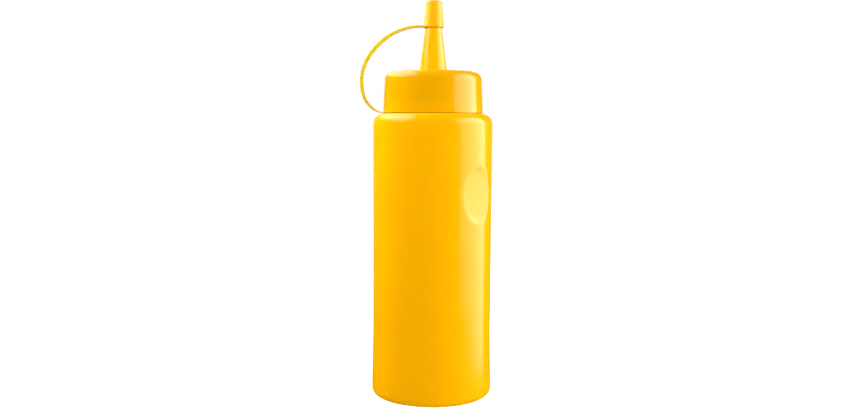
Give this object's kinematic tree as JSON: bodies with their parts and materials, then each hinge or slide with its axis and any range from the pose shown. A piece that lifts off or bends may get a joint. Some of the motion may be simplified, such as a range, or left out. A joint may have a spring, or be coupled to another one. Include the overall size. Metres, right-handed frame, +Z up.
{
  "type": "squeeze bottle",
  "caption": "Round condiment squeeze bottle with thumb recesses, a screw cap with a cone nozzle, and a small tip cap on a looped strap.",
  "frame": {"origin": "centre of the flat base, on the bottle's axis", "axes": "+Z up the bottle's axis, -Y towards the front; the strap of the tip cap is on the -X side"},
  "size_m": [0.0676, 0.0614, 0.1992],
  "materials": {
    "body_plastic": "satin, soft polythene",
    "cap_plastic": "satin, soft polythene",
    "tip_cap_plastic": "satin, soft polythene"
  },
  "bodies": {
    "root": {"bottle_body": "body_plastic", "screw_cap": "cap_plastic", "tethered_tip_cap": "tip_cap_plastic"}
  },
  "joints": []
}
